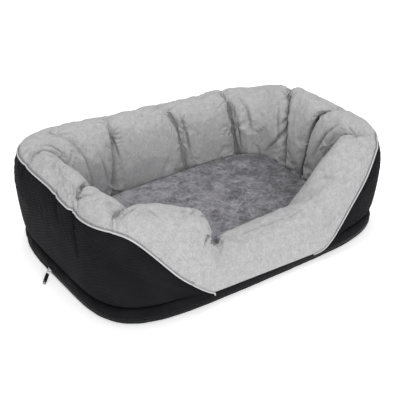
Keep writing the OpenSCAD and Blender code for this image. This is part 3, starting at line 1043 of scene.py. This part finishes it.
def wall_pieces(finish):
    """The suede and the black panels, the piping between them and its stitches."""
    wall, painted_fold_shade, angle, seam, chamber = finished_wall()
    start = [first_column(chamber, k) for k in range(len(TUCKS))] + [len(wall)]
    foot = np.full(len(wall), wall.shape[1] - 1.0)
    for side, first, last in (("right", 0, 3), ("back", 3, 7), ("left", 7, 11), ("front", 11, 12)):
        fills = numbered("wall_fill", first + 1, last) + numbered("baffle", first + 1, last)
        columns = np.arange(start[first], start[last] + 1)
        nodes = [f"suede_panel_{side}", *fills]
        panel(f"suede_{side}", wall, painted_fold_shade, columns, seam, foot, SUEDE_ROWS, finish, nodes)
    x, y = outline(angle, 0)
    ends = np.nonzero((y < 0) & (x > -PIPE_GAP - 2 * MM) & (x < PIPE_GAP_RIGHT + 2 * MM))[0]
    right_end = ends[ends < start[3]].max() + 1
    left_end = ends[ends > start[9]].min()
    base = np.zeros(len(wall))
    stretches = (("right", right_end, start[3]), ("back", start[3], start[7]), ("left", start[7], left_end))
    for side, first, last in stretches:
        columns = np.arange(first, last + 1)
        panel(f"outer_{side}", wall, painted_fold_shade, columns, base, seam, OUTER_ROWS, finish, [f"outer_panel_{side}"])
    piping(wall, seam, np.arange(right_end, left_end + 1), finish)


def piping(wall, seam, columns, finish):
    """The piping, with a tip past its left end, and the stitches just above it."""
    row = seam[columns, None]
    normal = row_points(normals_of(wall, closed=True)[columns], row)[:, 0]
    edge = row_points(wall[columns], row)[:, 0]
    line = even_path(edge + normal * PIPE_R, PIPE_STEP)
    line = np.concatenate([line, line[-1] + np.array(PIPE_TIP)])
    points, faces = tube(line, PIPE_R, PIPE_SIDES)
    piece = mesh_piece("piping", points, faces, finish["piping"])
    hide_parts("piping_sleeve", "piping_cord")
    inside = row_points(wall[columns], row + STITCH_ROW)[:, 0]
    stitches("piping_stitches", inside + normal * STITCH_OUT, finish["thread"])


def stitches(name, path, finish):
    """A row of short thread stitches along a path."""
    path = even_path(path, (STITCH_LENGTH + STITCH_GAP) / STITCH_POINTS)
    points, faces = [], []
    for i in range(0, len(path) - len(STITCH_TAPER), STITCH_POINTS):
        ring, sides = tube(path[i:i + len(STITCH_TAPER)], STITCH_R * STITCH_TAPER, STITCH_SIDES)
        faces += [[v + len(points) for v in f] for f in sides]
        points += ring.tolist()
    mesh_piece(name, points, faces, finish)


# ---------------- base and zip

def zip_reach(high):
    """Angle from the bed's side to the back end of the tapes or the chain."""
    return math.atan2(high.y / HALF_W, 1)


def round_base(angle, section):
    """Grid of points round the base, from a section of heights and distances out from its edge."""
    points = np.zeros((len(angle), len(section), 3))
    for j, (z, out) in enumerate(section):
        x, y = outline(angle, out)
        points[:, j] = np.stack([x, y, np.full_like(x, z)], axis=-1)
    return points


def base_band(finish):
    """The band round the base: soft, slightly puckered, with an open slot where the zip runs."""
    angle = even_outline(BAND_COLUMNS)
    section = np.array(BAND_SECTION)
    heights, shares = section[:, 0], section[:, 2]
    points = round_base(angle, section[:, :2] * MM)
    ring = points[:, SLOT_ROWS[0]]
    run = np.cumsum(np.linalg.norm(np.diff(ring, axis=0, append=ring[:1]), axis=1))
    flat = np.stack(np.broadcast_arrays(run[:, None], heights[None] * PUCKER_SQUEEZE * MM, 0.0), axis=-1)
    pucker = rumple(flat, (14, 11, 1.5), (40, 12, 1.8))
    outward = points / np.linalg.norm(points[..., :2], axis=-1, keepdims=True)
    outward[..., 2] = 0
    points += outward * (pucker * shares)[..., None]
    in_zip = (np.sin(angle) < math.sin(zip_reach(ZIP_HIGH))) | (np.sin(angle) < 0)
    quads = grid_faces(len(angle), len(heights), closed=True)
    column, row = quads[:, 0] // len(heights), quads[:, 0] % len(heights)
    in_slot = in_zip[column] & in_zip[(column + 1) % len(angle)]
    in_slot &= (row >= SLOT_ROWS[0]) & (row < SLOT_ROWS[1])
    cloth = flat * [1, 1 / PUCKER_SQUEEZE, 1]
    piece = mesh_piece("band", points, quads[~in_slot], finish["base_fabric"], cloth=cloth)
    thicken(piece, BAND_THICK)
    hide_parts("base_band", "base_filling")


def thicken(piece, thickness):
    """Gives a piece of cloth its thickness, inward."""
    solid = piece.modifiers.new("thickness", "SOLIDIFY")
    solid.thickness = thickness
    solid.offset = -1


def even_outline(count):
    """Angles of points at even steps round the base."""
    fine = np.linspace(0, 2 * math.pi, 4001)
    run = run_along(np.stack(outline(fine, 0), axis=-1))
    return np.interp(np.arange(count) / count * run[-1], run, fine)


def square_grid(across, along, out):
    """Grid of points over the bed's outline, and how far out each lies, 0 to 1."""
    u, v = np.meshgrid(np.linspace(-1, 1, across), np.linspace(-1, 1, along), indexing="ij")
    reach = np.maximum(np.abs(u), np.abs(v))
    size = (np.abs(u) ** SQUARENESS + np.abs(v) ** SQUARENESS) ** (1 / SQUARENESS)
    fit = reach / np.maximum(size, 1e-9)
    return u * fit * (HALF_L + out), v * fit * (HALF_W + out), reach


def flat_panels(finish):
    """The base's underside, and the deck that the wall and the cushion lie on."""
    x, y, reach = square_grid(*PANEL_GRID, -PANEL_IN)
    under = np.stack([x, y, np.zeros_like(x)], axis=-1)
    lift = (noise(under, 55 * MM, 21) + 1) * 0.35 * MM
    under[..., 2] = lift * (1 - reach**6) + 0.05 * MM
    top = under.copy()
    top[..., 2] = BASE_H - DECK_DROP + rumple(under, (40, 22, 0.35))
    for name, points, used, slot, facing, nodes in (
        ("base_underside", under, "base_fabric", "base_fabric", -1, ["base_bottom_panel"]),
        ("base_deck", top, "lining", "lining_fabric", 1, ["base_top_panel", "wall_lining"]),
    ):
        faces = grid_faces(*PANEL_GRID)[:, ::facing]
        piece = mesh_piece(name, points, faces, finish[used], cloth=points)
        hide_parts(*nodes)


def zip_line(count, out):
    """Points of the chain's path in plan, from the left side round the front, and its length."""
    end = zip_reach(CHAIN_HIGH)
    fine = np.linspace(math.pi - end, 2 * math.pi + end, 3000)
    run = run_along(np.stack(outline(fine, out), axis=-1))
    angle = np.interp(np.linspace(0, run[-1], count), run, fine)
    return np.stack(outline(angle, out), axis=-1), run[-1]


def zip_parts(finish):
    """Woven tapes and moulded teeth in the places of the frame's tapes and chain."""
    middle = (ZIP_LOW.z + ZIP_HIGH.z) / 2
    reach = zip_reach(ZIP_HIGH)
    angle = np.linspace(math.pi - reach, 2 * math.pi + reach, TAPE_COLUMNS)
    outs = np.full(TAPE_ROWS, -TAPE_IN)
    outs[-1] -= TAPE_LIP
    for name, side in (("lower", -1), ("upper", 1)):
        heights = middle + side * np.linspace(*TAPE_EDGES, TAPE_ROWS)
        points = round_base(angle, np.stack([heights, outs], axis=1))
        faces = grid_faces(TAPE_COLUMNS, TAPE_ROWS)[:, ::side]
        cloth = np.stack([points[..., 0] + points[..., 1], points[..., 2], 0 * points[..., 2]], axis=-1)
        tape = mesh_piece(f"tape_{name}", points, faces, finish["zip_tape"], cloth=cloth)
        thicken(tape, TAPE_THICK)
        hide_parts(f"zip_tape_{name}")
        teeth(name, side, middle, finish["zip_coil"])


def teeth(name, side, middle, finish):
    """One row of teeth, each a small bar that narrows towards the other row and outward."""
    _, length = zip_line(4, 0)
    count = int(length / TOOTH_PITCH)
    inner, _ = zip_line(count, TOOTH_SPAN[0])
    outer, _ = zip_line(count, TOOTH_SPAN[1])
    along = unit(np.gradient(outer, axis=0))
    shift = TOOTH_PITCH / 2 * (side > 0)
    tip, root = (middle + side * edge for edge in TOOTH_EDGES)
    corners = ((-1, root, 1), (-TOOTH_TIP, tip, -1), (TOOTH_TIP, tip, -1), (1, root, 1))
    points, faces = [], []
    for i in range(count):
        a = len(points)
        for plan, width, rounded in ((inner[i], 1, 0), (outer[i], TOOTH_FACE, TOOTH_ROUND)):
            for across, z, inward in corners:
                x, y = plan + along[i] * (across * TOOTH_HALF * width + shift)
                points.append((x, y, z - side * rounded * inward))
        faces += [[a, a + 1, a + 2, a + 3], [a + 4, a + 7, a + 6, a + 5]]
        faces += [[a + k, a + 4 + k, a + 4 + (k + 1) % 4, a + (k + 1) % 4] for k in range(4)]
    piece = mesh_piece(f"teeth_{name}", points, faces, finish)
    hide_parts(f"zip_chain_{name}")


# ---------------- cushion

def cushion_plan(grid):
    """Plan of the cushion, how far out each point lies, and its turn over the rounded edge."""
    u, v, reach = square_grid(*grid, 0)
    turn = np.minimum(1, (1 - reach) / (1 - EDGE_FROM)) * math.pi / 2
    on_edge = reach > EDGE_FROM
    in_by = np.where(on_edge, EDGE_ROUND * (1 - np.cos(turn)), EDGE_ROUND)
    squeeze = np.where(on_edge, 1, reach / EDGE_FROM)
    norm = np.maximum(reach, 1e-6)
    x = u / norm / HALF_L * (HALF_L - EDGE_GAP - in_by) * squeeze
    y = v / norm / HALF_W * (HALF_W - EDGE_GAP - in_by) * squeeze
    return np.stack([x, y, 0 * x], axis=-1), reach, turn


def cushion(finish):
    """Plush top and plain underside, one soft slab in two pieces sewn at the edge."""
    low, high = CUSHION_LOW.z, CUSHION_HIGH.z
    edge = lerp(low, high, EDGE_LEVEL)
    top, reach, turn = cushion_plan(TOP_GRID)
    crown = (high - TOP_DROP) - (1 - np.sin(turn)) * (high - edge) - CROWN_DROP * reach**2
    sag = rumple(top, (90, 31, 2.2), (35, 32, 1.0))
    tufts = rumple(top, (9, 33, 0.9), (4, 34, 0.6))
    top[..., 2] = crown + (sag + tufts) * np.sin(turn) - TOP_DROP
    under, _, turn = cushion_plan(UNDER_GRID)
    under[..., 2] = edge - np.sin(turn) * (edge - low)
    for name, points, slot, facing, nodes in (
        ("plush_top", top, "plush", 1, ["cushion_plush_top", "cushion_filling"]),
        ("cushion_base", under, "base_fabric", -1, ["cushion_underside"]),
    ):
        faces = grid_faces(*points.shape[:2])[:, ::facing]
        piece = mesh_piece(name, points, faces, finish[slot], body="cushion", cloth=points)
        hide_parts(*nodes)


# ---------------- the whole bed

def frame_finishes(finish):
    """Metal and plastic for the small parts that stay as the frame has them."""
    for name in ("zip_slider", "zip_bail", "zip_end_stops", "zip_pull", "zip_pull_grip"):
        used = "pull_grip" if name == "zip_pull_grip" else "zip_metal"
        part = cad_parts[name]
        part.data.materials.clear()
        part.data.materials.append(finish[used])


def build():
    """Every piece of the bed, with its material."""
    finish = {
        "suede": suede(),
        "ribbed_oxford": ribbed_oxford(),
        "plush": plush(),
        "piping": satin_tape(),
        "base_fabric": plain_weave("base_fabric", (0.002, 0.002, 0.0025), (0.012, 0.012, 0.014)),
        "lining": plain_weave("lining", (0.10, 0.10, 0.11), (0.17, 0.17, 0.18)),
        "zip_tape": plain_weave("zip_tape", (0.006, 0.006, 0.007), (0.02, 0.02, 0.022), 2200),
        "zip_coil": plastic("zip_coil", (0.02, 0.02, 0.022), 0.3),
        "zip_metal": metal("zip_metal", (0.62, 0.63, 0.65), 0.25),
        "pull_grip": plastic("pull_grip", (0.01, 0.01, 0.011), 0.45),
        "thread": plain_weave("thread", (0.06, 0.06, 0.065), (0.13, 0.13, 0.135), 3000),
    }
    wall_pieces(finish)
    base_band(finish)
    flat_panels(finish)
    zip_parts(finish)
    cushion(finish)
    frame_finishes(finish)


photo_camera()
studio()
build()
